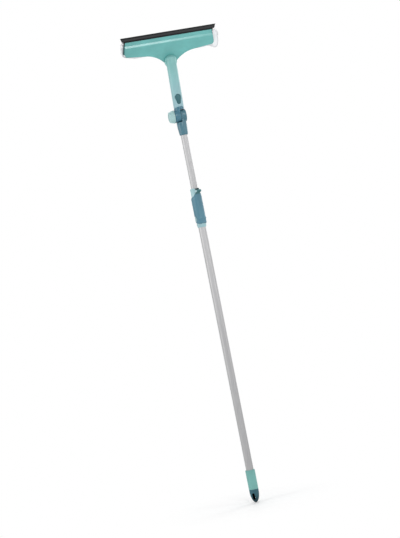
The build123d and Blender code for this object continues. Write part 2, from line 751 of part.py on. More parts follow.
def pad_carrier():
    tray = carrier_form(0, SHELL_DEPTH, carrier_back)
    tray -= carrier_form(CARRIER_WALL, SHELL_DEPTH, plate_front)
    tray -= channel_seat(0, CHANNEL_FRONT + CHANNEL_WIDTH + FIXED_GAP)
    spots = screw_spots() + stem_screw_spots()
    tray -= rods_y(SCREW_D / 2 + FIXED_GAP, SHELL_DEPTH, carrier_back, spots)
    head_seat = carrier_back - SCREW_HEAD
    tray -= rods_y(SCREW_HEAD_D / 2 + FIXED_GAP, head_seat, carrier_back, spots)
    return on_head(tray)


def head_screws(spots, tip):
    seat = carrier_back - SCREW_HEAD
    screws = rods_y(SCREW_D / 2, tip, seat, spots)
    screws += rods_y(SCREW_HEAD_D / 2, seat, carrier_back, spots)
    return screws - rods_y(SCREW_DRIVE_D / 2, seat + SCREW_HEAD / 2, carrier_back, spots)


def carrier_screws():
    return on_head(head_screws(screw_spots(), SHELL_WALL + SCREW_D))


def stem_screws():
    return on_head(head_screws(stem_screw_spots(), FIXED_GAP - STEM_SCREW_GRIP))


def channel_room():
    front = CHANNEL_FRONT + CHANNEL_WALL
    back = CHANNEL_FRONT + CHANNEL_WIDTH - CHANNEL_WALL
    return front, back, CHANNEL_LOW + CHANNEL_WALL, CHANNEL_HIGH - CHANNEL_LIP


def blade_channel():
    half = channel_half
    front, back, low, high = channel_room()
    middle = (front + back) / 2
    back_face = CHANNEL_FRONT + CHANNEL_WIDTH
    channel = block(-half, half, CHANNEL_FRONT, back_face, CHANNEL_LOW, CHANNEL_HIGH)
    channel -= block(-half, half, front, back, low, high)
    mouth = CHANNEL_MOUTH / 2
    channel -= block(-half, half, middle - mouth, middle + mouth, low, CHANNEL_HIGH)
    return on_head(channel)


def channel_caps():
    start = channel_half + FIXED_GAP
    outline = polygon(
        [
            (start, CHANNEL_LOW),
            (channel_half + CAP_LOW_OVERHANG, CHANNEL_LOW),
            (channel_half + CAP_HIGH_OVERHANG, CHANNEL_HIGH),
            (start, CHANNEL_HIGH),
        ]
    )
    outline = fillet(outline.vertices().sort_by(Axis.X)[-2:], CAP_EDGE_R)
    cap = prism_y(outline, CHANNEL_FRONT, CHANNEL_FRONT + CHANNEL_WIDTH)
    return on_head(cap + mirror(cap, Plane.YZ))


def blade_profile():
    front, back, low, high = channel_room()
    middle = (front + back) / 2
    neck = CHANNEL_MOUTH / 2 - FIXED_GAP
    base = BLADE_BASE_WIDTH / 2
    base_low = CHANNEL_HIGH + FIXED_GAP
    return polygon(
        [
            (front + FIXED_GAP, low + FIXED_GAP),
            (front + FIXED_GAP, high - FIXED_GAP),
            (middle - neck, high - FIXED_GAP),
            (middle - neck, base_low),
            (middle - base, base_low),
            (middle - base, BLADE_BASE_HIGH - BLADE_BASE_EDGE),
            (BLADE_BEAD_FRONT, BLADE_BASE_HIGH),
            (BLADE_LIP_FRONT, BLADE_BEAD_HIGH),
            (BLADE_TIP_FRONT, BLADE_LIP),
            (BLADE_TIP_FRONT + BLADE_TIP_THICK, BLADE_LIP),
            (BLADE_LIP_FRONT + BLADE_LIP_THICK, BLADE_BEAD_HIGH),
            (middle + base, BLADE_BASE_HIGH),
            (middle + base, base_low),
            (middle + neck, base_low),
            (middle + neck, high - FIXED_GAP),
            (back - FIXED_GAP, high - FIXED_GAP),
            (back - FIXED_GAP, low + FIXED_GAP),
        ]
    )


def rubber_blade():
    root_low = channel_room()[2]
    base_low = CHANNEL_HIGH + FIXED_GAP
    lip_half = channel_half + BLADE_LIP_OVERHANG
    right_end = [
        (channel_half, root_low),
        (channel_half, base_low),
        (channel_half + BLADE_BASE_OVERHANG, base_low),
        (channel_half + BLADE_BEAD_OVERHANG, BLADE_BASE_HIGH),
        (lip_half, BLADE_LIP),
    ]
    left_end = [(-x, u) for x, u in reversed(right_end)]
    ends = prism_y(polygon(right_end + left_end), 0, SHELL_TOP)
    return on_head(prism_x(blade_profile(), -lip_half, lip_half) & ends)


def hook_strips():
    outer_x = channel_half - HOOK_SETBACK
    strip = block(HOOK_INNER_X, outer_x, carrier_back, cover_front, HOOK_LOW, HOOK_HIGH)
    return on_head(strip + mirror(strip, Plane.YZ))


def cushion(left, right, low, high, front, back, corner_r, crown):
    height = high - low
    outline = Pos((left + right) / 2, (low + high) / 2) * RectangleRounded(right - left, height, corner_r)
    slab = prism_y(outline, front, back)
    crown_r = ((height / 2) ** 2 + crown**2) / (2 * crown)
    return slab & rod_x(crown_r, left, right, y=back - crown_r, z=(low + high) / 2)


def cover_form():
    back = cover_front + COVER_THICK
    form = cushion(
        cover_left, cover_right, COVER_LOW, COVER_HIGH, cover_front, back, COVER_CORNER_R, COVER_CROWN
    )
    front_edges = form.edges().filter_by_position(Axis.Y, cover_front - FIXED_GAP, cover_front + FIXED_GAP)
    form = fillet(front_edges, COVER_FRONT_R)
    rear_edges = form.faces().sort_by(Axis.Y)[-1].edges()
    return fillet(rear_edges, COVER_BACK_R)


def foam_form(growth):
    back = cover_front + COVER_THICK - COVER_SKIN - COVER_BACK_R / 2
    half = channel_half + FOAM_OVERHANG + growth
    return cushion(
        -half,
        half,
        COVER_LOW + 2 * COVER_SKIN - growth,
        COVER_HIGH - 2 * COVER_SKIN + growth,
        cover_front + COVER_SKIN - growth,
        back + growth,
        FOAM_CORNER_R,
        COVER_CROWN,
    )


def foam_core():
    return on_head(foam_form(0))


def microfibre_cover():
    return on_head(cover_form() - foam_form(FIXED_GAP))


PIECES = [
    outer_tube,
    grip_sleeve,
    end_cap,
    clamp_housing,
    housing_rivets,
    lever_pin,
    pole_bush,
    clamp_lever,
    brake_shoe,
    guide_bush,
    inner_tube,
    tube_socket,
    socket_screw,
    tilt_nut,
    friction_washer,
    tilt_knob,
    knob_bolt,
    knob_washer,
    tilt_yoke,
    release_button,
    button_spring,
    stem,
    head_shell,
    pad_carrier,
    carrier_screws,
    stem_screws,
    blade_channel,
    channel_caps,
    rubber_blade,
    hook_strips,
    foam_core,
    microfibre_cover,
]

os.makedirs("parts", exist_ok=True)
for piece in PIECES:
    solid = piece()
    export_step(solid, f"parts/{piece.__name__}.step")
    print(piece.__name__, round(solid.volume), len(solid.solids()))
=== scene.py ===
import json
import math

import bpy
import numpy as np
from mathutils import Matrix, Vector, noise
from mathutils.bvhtree import BVHTree


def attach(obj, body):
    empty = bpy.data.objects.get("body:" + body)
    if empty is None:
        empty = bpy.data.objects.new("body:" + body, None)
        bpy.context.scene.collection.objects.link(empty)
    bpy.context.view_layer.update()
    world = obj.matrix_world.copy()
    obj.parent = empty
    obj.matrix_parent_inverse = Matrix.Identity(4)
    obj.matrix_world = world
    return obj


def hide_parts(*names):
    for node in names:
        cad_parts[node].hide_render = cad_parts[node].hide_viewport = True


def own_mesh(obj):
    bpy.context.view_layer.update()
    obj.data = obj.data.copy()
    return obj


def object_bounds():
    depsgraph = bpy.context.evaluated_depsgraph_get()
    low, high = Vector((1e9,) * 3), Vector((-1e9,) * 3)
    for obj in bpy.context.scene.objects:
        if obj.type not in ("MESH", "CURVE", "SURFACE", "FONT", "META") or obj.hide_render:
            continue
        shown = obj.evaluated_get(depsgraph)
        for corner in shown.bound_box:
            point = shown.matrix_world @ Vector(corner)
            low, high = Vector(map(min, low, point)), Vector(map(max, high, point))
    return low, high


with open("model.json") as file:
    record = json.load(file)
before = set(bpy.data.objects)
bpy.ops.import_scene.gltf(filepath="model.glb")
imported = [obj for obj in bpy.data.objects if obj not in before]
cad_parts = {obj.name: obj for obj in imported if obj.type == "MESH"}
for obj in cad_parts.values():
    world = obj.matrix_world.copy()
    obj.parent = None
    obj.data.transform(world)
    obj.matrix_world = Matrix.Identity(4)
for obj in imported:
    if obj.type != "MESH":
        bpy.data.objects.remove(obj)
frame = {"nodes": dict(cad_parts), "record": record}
cad_low, cad_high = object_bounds()
nodes = frame["nodes"]
UP = Vector((0, 0, 1))


def joint_record(name):
    return next(joint for joint in frame["record"]["behaviour"]["joints"] if joint["name"] == name)


# The head plate's own frame, in metres: x along the blade, w back from its face, u up along it.
HEAD_TILT = math.radians(8)
HEAD_LEAN = HEAD_TILT + math.radians(27)
HINGE_TO_SEAT = 0.1806
SEAT_BACK = 0.010
HINGE = Vector(joint_record("head_tilt")["pos_m"])
STEM_DIR = Vector((0, -math.sin(HEAD_TILT), math.cos(HEAD_TILT)))
W_DIR = Vector((0, math.cos(HEAD_LEAN), math.sin(HEAD_LEAN)))
U_DIR = Vector((0, -math.sin(HEAD_LEAN), math.cos(HEAD_LEAN)))
HEAD_SEAT = HINGE + STEM_DIR * HINGE_TO_SEAT + W_DIR * SEAT_BACK


def head_point(x, w, u):
    """A point of the head plate's frame, in the scene."""
    return HEAD_SEAT + Vector((x, 0, 0)) + W_DIR * w + U_DIR * u


def head_local(point):
    """A point of the scene, in the head plate's frame."""
    reach = point - HEAD_SEAT
    return reach.x, reach.dot(W_DIR), reach.dot(U_DIR)


def head_span(name):
    """A node's lowest and highest x, w and u in the head plate's frame."""
    points = [head_local(vertex.co) for vertex in nodes[name].data.vertices]
    low = [min(point[axis] for point in points) for axis in range(3)]
    high = [max(point[axis] for point in points) for axis in range(3)]
    return low, high


def new_object(name, data):
    piece = bpy.data.objects.new(name, data)
    bpy.context.scene.collection.objects.link(piece)
    return piece


def new_mesh(name, verts, faces):
    mesh = bpy.data.meshes.new(name)
    mesh.from_pydata(verts, [], faces)
    return mesh


def linear(rgb, factor=1.0):
    """An sRGB colour of 0 to 255, lighter or darker by a factor, as a linear one."""
    parts = []
    for value in rgb:
        share = min(255.0, value * factor) / 255
        parts.append(share / 12.92 if share <= 0.04045 else ((share + 0.055) / 1.055) ** 2.4)
    return (*parts, 1.0)


class Nodes:
    """A node tree, with short calls to add and join its nodes."""

    def __init__(self, tree):
        self.tree = tree

    def add(self, kind, **settings):
        node = self.tree.nodes.new(kind)
        for key, value in settings.items():
            setattr(node, key, value)
        return node

    def join(self, out, socket):
        self.tree.links.new(out, socket)

    def feed(self, socket, value):
        """Join what comes from another node; set a plain value."""
        if hasattr(value, "is_linked"):
            self.join(value, socket)
        else:
            socket.default_value = value

    def calc(self, operation, first, second=0.0):
        node = self.add("ShaderNodeMath", operation=operation)
        self.feed(node.inputs[0], first)
        self.feed(node.inputs[1], second)
        return node.outputs["Value"]

    def spread(self, value, low=0.0, high=1.0, start=0.3, end=0.7):
        """Take start to end onto low to high, and hold the value beyond them."""
        node = self.add("ShaderNodeMapRange")
        node.inputs["From Min"].default_value = start
        node.inputs["From Max"].default_value = end
        node.inputs["To Min"].default_value = low
        node.inputs["To Max"].default_value = high
        self.join(value, node.inputs["Value"])
        return node.outputs["Result"]

    def mix(self, factor, first, second):
        """A mix of two colours."""
        node = self.add("ShaderNodeMix", data_type="RGBA")
        colours = [socket for socket in node.inputs if socket.type == "RGBA"]
        self.feed(colours[0], first)
        self.feed(colours[1], second)
        shares = [socket for socket in node.inputs if socket.name == "Factor" and socket.type == "VALUE"]
        self.join(factor, shares[0])
        return next(socket for socket in node.outputs if socket.type == "RGBA")

    def mix_shaders(self, factor, first, second):
        node = self.add("ShaderNodeMixShader")
        for socket, out in zip(node.inputs, (factor, first, second)):
            self.join(out, socket)
        return node.outputs["Shader"]

    def seen_rays(self):
        """A factor that is 1 for rays that show the background: from the camera, gloss or glass."""
        path = self.add("ShaderNodeLightPath")
        seen = path.outputs["Is Camera Ray"]
        for kind in ("Is Glossy Ray", "Is Transmission Ray"):
            seen = self.calc("MAXIMUM", seen, path.outputs[kind])
        return seen


class Shader(Nodes):
    """A material's nodes, with patterns in the object's own coordinates."""

    INPUTS = {
        "rough": "Roughness",
        "metal": "Metallic",
        "specular": "Specular IOR Level",
        "sheen": "Sheen Weight",
        "sheen_rough": "Sheen Roughness",
    }

    def __init__(self, material):
        material.use_nodes = True
        super().__init__(material.node_tree)
        self.material = material
        self.bsdf = self.tree.nodes["Principled BSDF"]
        self.coord = self.add("ShaderNodeTexCoord").outputs["Object"]

    def set(self, **values):
        for key, value in values.items():
            self.bsdf.inputs[self.INPUTS[key]].default_value = value

    def stretched(self, x, y, z):
        """The coordinates, scaled along each axis."""
        node = self.add("ShaderNodeMapping")
        node.inputs["Scale"].default_value = (x, y, z)
        self.join(self.coord, node.inputs["Vector"])
        return node.outputs["Vector"]

    def noise(self, scale=1.0, detail=3.0, rough=0.55, vector=None):
        node = self.add("ShaderNodeTexNoise")
        node.inputs["Scale"].default_value = scale
        node.inputs["Detail"].default_value = detail
        node.inputs["Roughness"].default_value = rough
        self.join(vector or self.coord, node.inputs["Vector"])
        return node.outputs["Fac"]

    def along(self, way):
        """How far the point lies along a direction."""
        node = self.add("ShaderNodeVectorMath", operation="DOT_PRODUCT")
        node.inputs[1].default_value = way
        self.join(self.coord, node.inputs[0])
        return node.outputs["Value"]

    def bump(self, height, strength, distance, normal=None):
        node = self.add("ShaderNodeBump")
        node.inputs["Strength"].default_value = strength
        node.inputs["Distance"].default_value = distance
        self.join(height, node.inputs["Height"])
        if normal is not None:
            self.join(normal, node.inputs["Normal"])
        return node.outputs["Normal"]

    def surface(self, tint, normal, rough=None):
        """Join the colour and the relief, and the roughness where it varies."""
        self.join(tint, self.bsdf.inputs["Base Color"])
        self.join(normal, self.bsdf.inputs["Normal"])
        if rough is not None:
            self.join(rough, self.bsdf.inputs["Roughness"])
        return self.material


def new_shader(name, **values):
    s = Shader(bpy.data.materials.new(name))
    s.set(**values)
    return s


def moulded_plastic(
    name,
    rgb,
    rough=0.42,
    drift=0.05,
    grain=900.0,
    grain_depth=0.00006,
    scuffs=0.05,
    specular=0.42,
    painted_shading=None,
):
    """Satin moulded plastic: a slow drift of tint, a fine spark-eroded grain and faint rub marks.
    An optional second colour is painted light and shade, given with the heights where it starts and is full."""
    s = new_shader(name, specular=specular)
    slow = s.spread(s.noise(scale=14.0, detail=4.0))
    tint = s.mix(slow, linear(rgb, 1 - drift), linear(rgb, 1 + drift))
    if painted_shading is not None:
        other_rgb, start, full = painted_shading
        tint = s.mix(s.spread(s.along(UP), start=start, end=full), tint, linear(other_rgb))
    rubs = s.noise(scale=60.0, detail=8.0, rough=0.7, vector=s.stretched(1.0, 1.0, 0.22))
    tint = s.mix(s.spread(rubs, high=0.22, start=0.60, end=0.80), tint, linear(rgb, factor=1.16))
    normal = s.bump(s.noise(scale=grain, detail=2.0), strength=0.25, distance=grain_depth)
    normal = s.bump(rubs, strength=0.08, distance=0.0001, normal=normal)
    return s.surface(tint, normal, s.spread(rubs, low=rough - scuffs, high=rough + scuffs))


def satin_tube(name, rgb, rough, painted_falloff=None):
    """Anodised tube: lines drawn along its length, and painted streaks of reflection along it.
    An optional factor darkens its colour as painted shade, given with the heights where it starts and is
    full."""
    s = new_shader(name, metal=0.25, specular=0.35)
    lines = s.noise(detail=6.0, rough=0.65, vector=s.stretched(900.0, 900.0, 9.0))
    reflection_streaks = s.noise(detail=3.0, rough=0.6, vector=s.stretched(130.0, 130.0, 3.5))
    tint = linear(rgb)
    if painted_falloff is not None:
        factor, start, full = painted_falloff
        tint = s.mix(s.spread(s.along(UP), start=start, end=full), tint, linear(rgb, factor))
    # Painted reflection: lighter and darker streaks along the tube.
    tint = s.mix(s.spread(reflection_streaks, high=0.9), tint, linear(rgb, factor=0.84))
    tint = s.mix(s.spread(lines, high=0.3), tint, linear(rgb, factor=0.88))
    normal = s.bump(lines, strength=0.12, distance=0.00004)
    return s.surface(tint, normal, s.spread(lines, low=rough - 0.06, high=rough + 0.06))


def bare_steel(name, rgb, rough=0.33):
    """Bright steel with fine marks from turning."""
    s = new_shader(name, metal=1.0)
    turned = s.noise(detail=4.0, rough=0.6, vector=s.stretched(1500.0, 1500.0, 1500.0))
    tint = s.mix(s.spread(s.noise(scale=120.0, detail=4.0)), linear(rgb, factor=0.88), linear(rgb))
    normal = s.bump(turned, strength=0.1, distance=0.00003)
    return s.surface(tint, normal, s.spread(turned, low=rough - 0.08, high=rough + 0.1))


def soft_rubber(name, rgb, rough=0.55):
    """Black rubber with a faint bloom and lines from the extruder along its length."""
    s = new_shader(name, specular=0.35)
    bloom = s.spread(s.noise(scale=35.0, detail=6.0, rough=0.65), high=0.55, start=0.45, end=0.8)
    tint = s.mix(bloom, linear(rgb), linear(rgb, factor=1.9))
    lines = s.noise(detail=3.0, rough=0.5, vector=s.stretched(6.0, 700.0, 700.0))
    normal = s.bump(lines, strength=0.15, distance=0.00006)
    return s.surface(tint, normal, s.spread(lines, low=rough - 0.08, high=rough + 0.08))


def microfibre(name, rgb, loop_shade):
    """White split-fibre cloth: a soft sheen, with painted shade between the loops."""
    s = new_shader(name, rough=0.95, specular=0.15, sheen=0.35, sheen_rough=0.5)
    loops = s.noise(scale=420.0, detail=4.0, rough=0.6)
    tint = s.mix(s.spread(s.noise(scale=22.0, detail=4.0)), linear(rgb, factor=0.98), linear(rgb))
    # Painted shade between the loops.
    tint = s.mix(s.spread(loops, high=0.55, start=0.52, end=0.75), tint, linear(loop_shade))
    normal = s.bump(loops, strength=0.5, distance=0.0006)
    fibre = s.noise(scale=1700.0, detail=3.0)
    return s.surface(tint, s.bump(fibre, strength=0.35, distance=0.00015, normal=normal))


def woven_tape(name, rgb):
    """Polyester tape: fine crossing threads."""
    s = new_shader(name, rough=0.85, specular=0.2, sheen=0.2, sheen_rough=0.5)
    warp = s.noise(detail=2.0, rough=0.5, vector=s.stretched(2600.0, 700.0, 700.0))
    weft = s.noise(detail=2.0, rough=0.5, vector=s.stretched(500.0, 2600.0, 2600.0))
    tint = s.mix(s.spread(s.noise(scale=40.0, detail=3.0)), linear(rgb, factor=0.96), linear(rgb))
    tint = s.mix(s.spread(weft, high=0.5), tint, linear(rgb, factor=0.9))
    normal = s.bump(weft, strength=0.3, distance=0.0002)
    return s.surface(tint, s.bump(warp, strength=0.3, distance=0.0002, normal=normal))


def hook_tape(name, rgb):
    """Hook tape: rows of tiny hooks, with painted shade between them."""
    s = new_shader(name, rough=0.8, specular=0.2)
    hooks = s.add("ShaderNodeTexVoronoi")
    hooks.inputs["Scale"].default_value = 700.0
    s.join(s.coord, hooks.inputs["Vector"])
    away = hooks.outputs["Distance"]
    tint = s.mix(s.spread(away, start=0.2, end=0.6), linear(rgb), linear(rgb, factor=0.62))
    return s.surface(tint, s.bump(away, strength=0.6, distance=0.0004))


# The hanging slot in the cap: its turn about the pole, its middle's height and its half sizes.
SLOT_TURN = math.radians(30)
SLOT_MIDDLE = -0.055
SLOT_HALF_LENGTH = 0.011
SLOT_HALF_WIDTH = 0.004
# The painted shade on the slot's walls: where it is full, where it ends, and its near-black colour.
SLOT_SHADE_FULL = SLOT_HALF_WIDTH + 0.0001
SLOT_SHADE_END = SLOT_HALF_WIDTH + 0.0005
SLOT_PAINTED_SHADE = (6, 9, 12)


def shade_slot_walls(material):
    """Paint shade on the walls inside the hanging slot, which no light reaches on the real part: a near-black
    colour and no gloss.
    """
    s = Shader(material)
    side = s.along((math.cos(SLOT_TURN), -math.sin(SLOT_TURN), 0))
    rise = s.calc("ABSOLUTE", s.calc("SUBTRACT", s.along(UP), SLOT_MIDDLE))
    over = s.calc("MAXIMUM", s.calc("SUBTRACT", rise, SLOT_HALF_LENGTH - SLOT_HALF_WIDTH))
    squares = s.calc("ADD", s.calc("MULTIPLY", side, side), s.calc("MULTIPLY", over, over))
    reach = s.calc("SQRT", squares)
    inside = s.spread(reach, low=1.0, high=0.0, start=SLOT_SHADE_FULL, end=SLOT_SHADE_END)
    base = s.bsdf.inputs["Base Color"]
    s.join(s.mix(inside, base.links[0].from_socket, linear(SLOT_PAINTED_SHADE)), base)
    gloss = s.bsdf.inputs["Specular IOR Level"]
    s.join(s.spread(inside, low=gloss.default_value, high=0.0, start=0.0, end=1.0), gloss)


# Colours are sRGB. Some plastics change to a second colour, and the lower tube grows darker by a factor, from
# one height to another, in metres. All of these are painted light and shade: the stem turns paler and bluer
# towards its foot as painted light, the lever's knuckle darker as painted shade, the cap darker towards its
# tip as painted shade, and the lower tube darker towards the bottom as painted shade where the lamps' light
# falls off.
STEM_PAINTED_LIGHT = ((144, 178, 186), 1.385, 1.25)
LEVER_PAINTED_SHADE = ((50, 102, 106), 0.950, 0.954)
CAP_PAINTED_SHADE = ((26, 50, 58), -0.050, -0.072)
TUBE_PAINTED_FALLOFF = (0.87, 0.7, 0.0)

tube_metal = satin_tube("satin_tube_upper", (191, 191, 192), 0.42)
tube_metal_low = satin_tube("satin_tube_lower", (189, 189, 190), 0.42, TUBE_PAINTED_FALLOFF)
shell_teal = moulded_plastic("shell_teal", (100, 167, 164), 0.20, scuffs=0.03)
stem_teal = moulded_plastic("stem_teal", (121, 175, 172), 0.36, painted_shading=STEM_PAINTED_LIGHT)
grip_teal = moulded_plastic("grip_teal", (110, 165, 160), 0.5, grain=600.0, grain_depth=0.0001)
clamp_pale = moulded_plastic("clamp_pale", (147, 181, 186), 0.4)
lever_blue = moulded_plastic("lever_blue", (76, 121, 138), 0.48, painted_shading=LEVER_PAINTED_SHADE)
joint_blue = moulded_plastic("joint_blue", (70, 112, 126), 0.34)
yoke_blue = moulded_plastic("yoke_blue", (64, 113, 131), 0.34)
knob_pale = moulded_plastic("knob_pale", (156, 190, 190), 0.42)
button_teal = moulded_plastic("button_teal", (46, 94, 101), 0.5)
carrier_teal = moulded_plastic("carrier_teal", (42, 78, 84), 0.5)
cap_blue = moulded_plastic("cap_blue", (56, 94, 105), 0.42, specular=0.15, painted_shading=CAP_PAINTED_SHADE)
nylon = moulded_plastic("nylon", (226, 225, 220), 0.5)
channel_black = moulded_plastic("channel_black", (22, 22, 24), 0.5, drift=0.1)
# The brake shoe is coloured near-black teal as painted shade for the dark gap above the lever's knuckle.
shoe_painted_shade = moulded_plastic("shoe_painted_shade", (12, 52, 54), 0.5, specular=0.15)
thread_white = moulded_plastic("thread_white", (240, 240, 243), 0.7, drift=0.02)
blade_rubber = soft_rubber("blade_rubber", (14, 16, 19))
washer_rubber = soft_rubber("washer_rubber", (26, 26, 28))
steel = bare_steel("steel", (190, 190, 192))
hook_grey = hook_tape("hook_tape", (150, 153, 156))
pile_white = microfibre("pile_white", (233, 234, 236), (224, 225, 228))
binding_white = woven_tape("binding_white", (247, 247, 248))
shade_slot_walls(cap_blue)

FINISH = {
    "outer_tube": tube_metal_low,
    "inner_tube": tube_metal,
    "grip_sleeve": grip_teal,
    "end_cap": cap_blue,
    "clamp_housing": clamp_pale,
    "housing_rivets": steel,
    "lever_pin": steel,
    "pole_bush": nylon,
    "clamp_lever": lever_blue,
    "brake_shoe": shoe_painted_shade,
    "guide_bush": nylon,
    "tube_socket": joint_blue,
    "socket_screw": steel,
    "tilt_nut": steel,
    "friction_washer": washer_rubber,
    "tilt_knob": knob_pale,
    "knob_bolt": steel,
    "knob_washer": steel,
    "tilt_yoke": yoke_blue,
    "stem": stem_teal,
    "head_shell": shell_teal,
    "pad_carrier": carrier_teal,
    "carrier_screws": steel,
    "stem_screws": steel,
    "blade_channel": channel_black,
    "channel_caps": channel_black,
    "rubber_blade": blade_rubber,
    "hook_strips": hook_grey,
    "foam_core": pile_white,
    "microfibre_cover": pile_white,
    "button_spring": steel,
    "release_button": button_teal,
}

EDGE_ROUND = {
    "head_shell": 0.0009,
    "pad_carrier": 0.0006,
    "stem": 0.0005,
    "clamp_housing": 0.0006,
    "clamp_lever": 0.0007,
    "tube_socket": 0.0008,
    "tilt_yoke": 0.0008,
    "tilt_knob": 0.0008,
    "end_cap": 0.0006,
    "release_button": 0.0008,
    "grip_sleeve": 0.0004,
    "rubber_blade": 0.0002,
}
EDGE_ANGLE = math.radians(35)
EDGE_SEGMENTS = 2
WELD_DISTANCE = 0.000005


def round_edges(node, width):
    """Round a node's sharp edges, after its seams are welded."""
    weld = node.modifiers.new("weld", "WELD")
    weld.merge_threshold = WELD_DISTANCE
    bevel = node.modifiers.new("edge", "BEVEL")
    bevel.width = width
    bevel.segments = EDGE_SEGMENTS
    bevel.limit_method = "ANGLE"
    bevel.angle_limit = EDGE_ANGLE
    bevel.use_clamp_overlap = True
    bevel.harden_normals = True


for name, node in nodes.items():
    node.data.materials.clear()
    node.data.materials.append(FINISH[name])
    if name in EDGE_ROUND:
        round_edges(node, EDGE_ROUND[name])


# Pad: a soft microfibre cushion on the hook strips. Its right end is slack beyond the foam and hangs down,
# and its left end's low edge is drawn up.
PAD_VOXEL = 0.0045
PAD_SHRINK = 0.0012
PAD_CLEARANCE = 0.0002
PAD_CORNER = 0.016
PAD_CORNER_STEPS = 6
PAD_DROOP = 0.0115
PAD_HOLD = 0.75
PAD_SLACK = 0.45
PAD_LIFT = 0.009
PAD_LIFT_START = 0.105
PAD_LIFT_FULL = 0.152
PAD_SWELL = 0.006

# The cloth that swells it.
CLOTH_FRAMES = 20
CLOTH_QUALITY = 6
CLOTH_MASS = 0.15
CLOTH_BENDING = 0.4
CLOTH_PRESSURE = 4.0

# Its pile: lumps of two sizes, each with its share, its scale and its offset, and loose tufts. The lumps
# grow from none to full over a distance from the carrier, and no tuft is nearer to it than TUFT_START.
PILE_DEPTH = 0.0007
PILE_START = 0.001
PILE_FULL = 0.005
PILE_LUMPS = ((0.65, 260.0, (0.0, 0.0, 0.0)), (0.35, 640.0, (3.1, 1.7, 8.2)))
TUFT_SEED = 11
TUFTS = 9000
TUFT_START = 0.004
TUFT_LENGTH = 0.0030
TUFT_SHORTEST = 0.55
TUFT_RADIUS = 0.00042
TUFT_SIDES = 3
# Rise and lean as shares of the length, and the radius as a share of the full one.
TUFT_SHAPE = ((-0.1, 0.0, 1.0), (0.55, 0.18, 0.8), (1.0, 0.5, 0.25))

# The tape round its edge: the section in shares of the width and the bulge, and its place on the edge.
BINDING_WIDTH = 0.0072
BINDING_BULGE = 0.0011
BINDING_LEVEL = 0.62
BINDING_SECTION = (
    (-0.5, -0.6),
    (-0.46, 0.25),
    (-0.25, 0.9),
    (0.0, 1.0),
    (0.25, 0.9),
    (0.46, 0.25),
    (0.5, -0.6),
)
EDGE_CORNER_STEPS = 8
EDGE_STEP = 0.006
CAST_FROM = 0.02
CAST_REACH = 0.06

# The stitches: place on the tape in shares of its width and bulge; then reach, rise and radius as shares.
STITCH_PITCH = 0.0042
STITCH_LENGTH = 0.0027
STITCH_RADIUS = 0.00042
STITCH_SIDES = 6
STITCH_ACROSS = 0.22
STITCH_OUT = 0.9
STITCH_SHAPE = (
    (-0.5, -0.9, 0.55),
    (-0.28, 0.15, 1.0),
    (0.0, 0.45, 1.05),
    (0.28, 0.15, 1.0),
    (0.5, -0.9, 0.55),
)

cover_low, cover_high = head_span("microfibre_cover")
PAD_FRONT = cover_low[1] + PAD_CLEARANCE
FOAM_END = head_span("foam_core")[1][0] - PAD_CORNER


def smooth_step(value, start, end):
    share = min(1.0, max(0.0, (value - start) / (end - start)))
    return share * share * (3 - 2 * share)


def settle(piece):
    """Apply the piece's modifiers to its mesh."""
    piece.data = settled_mesh(piece)
    piece.modifiers.clear()


def settled_mesh(piece):
    bpy.context.view_layer.update()
    ready = piece.evaluated_get(bpy.context.evaluated_depsgraph_get())
    return bpy.data.meshes.new_from_object(ready)


def rounded_outline(shrink, arc_steps):
    """The cover's outline, drawn in by shrink: points of a rounded rectangle, anticlockwise."""
    left = cover_low[0] + shrink + PAD_CORNER
    right = cover_high[0] - shrink - PAD_CORNER
    low = cover_low[2] + shrink + PAD_CORNER
    high = cover_high[2] - shrink - PAD_CORNER
    points = []
    for quarter, (x, u) in enumerate([(right, low), (right, high), (left, high), (left, low)]):
        for step in range(arc_steps + 1):
            angle = math.pi / 2 * (quarter - 1 + step / arc_steps)
            points.append((x + PAD_CORNER * math.cos(angle), u + PAD_CORNER * math.sin(angle)))
    return points


def slab_mesh(outline, front, back):
    count = len(outline)
    verts = [head_point(x, w, u) for w in (front, back) for x, u in outline]
    faces = [tuple(range(count)), tuple(range(2 * count - 1, count - 1, -1))]
    faces += [(i, i + count, (i + 1) % count + count, (i + 1) % count) for i in range(count)]
    return new_mesh("pad_start", verts, faces)


def droop(x, u):
    """How far the right end hangs down, less how far the left end's low edge is drawn up."""
    rise = smooth_step(u, 0, cover_high[2])
    hang = PAD_DROOP * smooth_step(x, FOAM_END, cover_high[0]) * (1 - PAD_HOLD * rise)
    return hang - PAD_LIFT * smooth_step(-x, PAD_LIFT_START, PAD_LIFT_FULL) * (1 - rise)


def slacken(mesh):
    """Thin the end that has no foam in it, and let both ends droop."""
    for vertex in mesh.vertices:
        x, w, u = head_local(vertex.co)
        thin = 1 - PAD_SLACK * smooth_step(x, FOAM_END, cover_high[0])
        vertex.co = head_point(x, PAD_FRONT + (w - PAD_FRONT) * thin, u - droop(x, u))


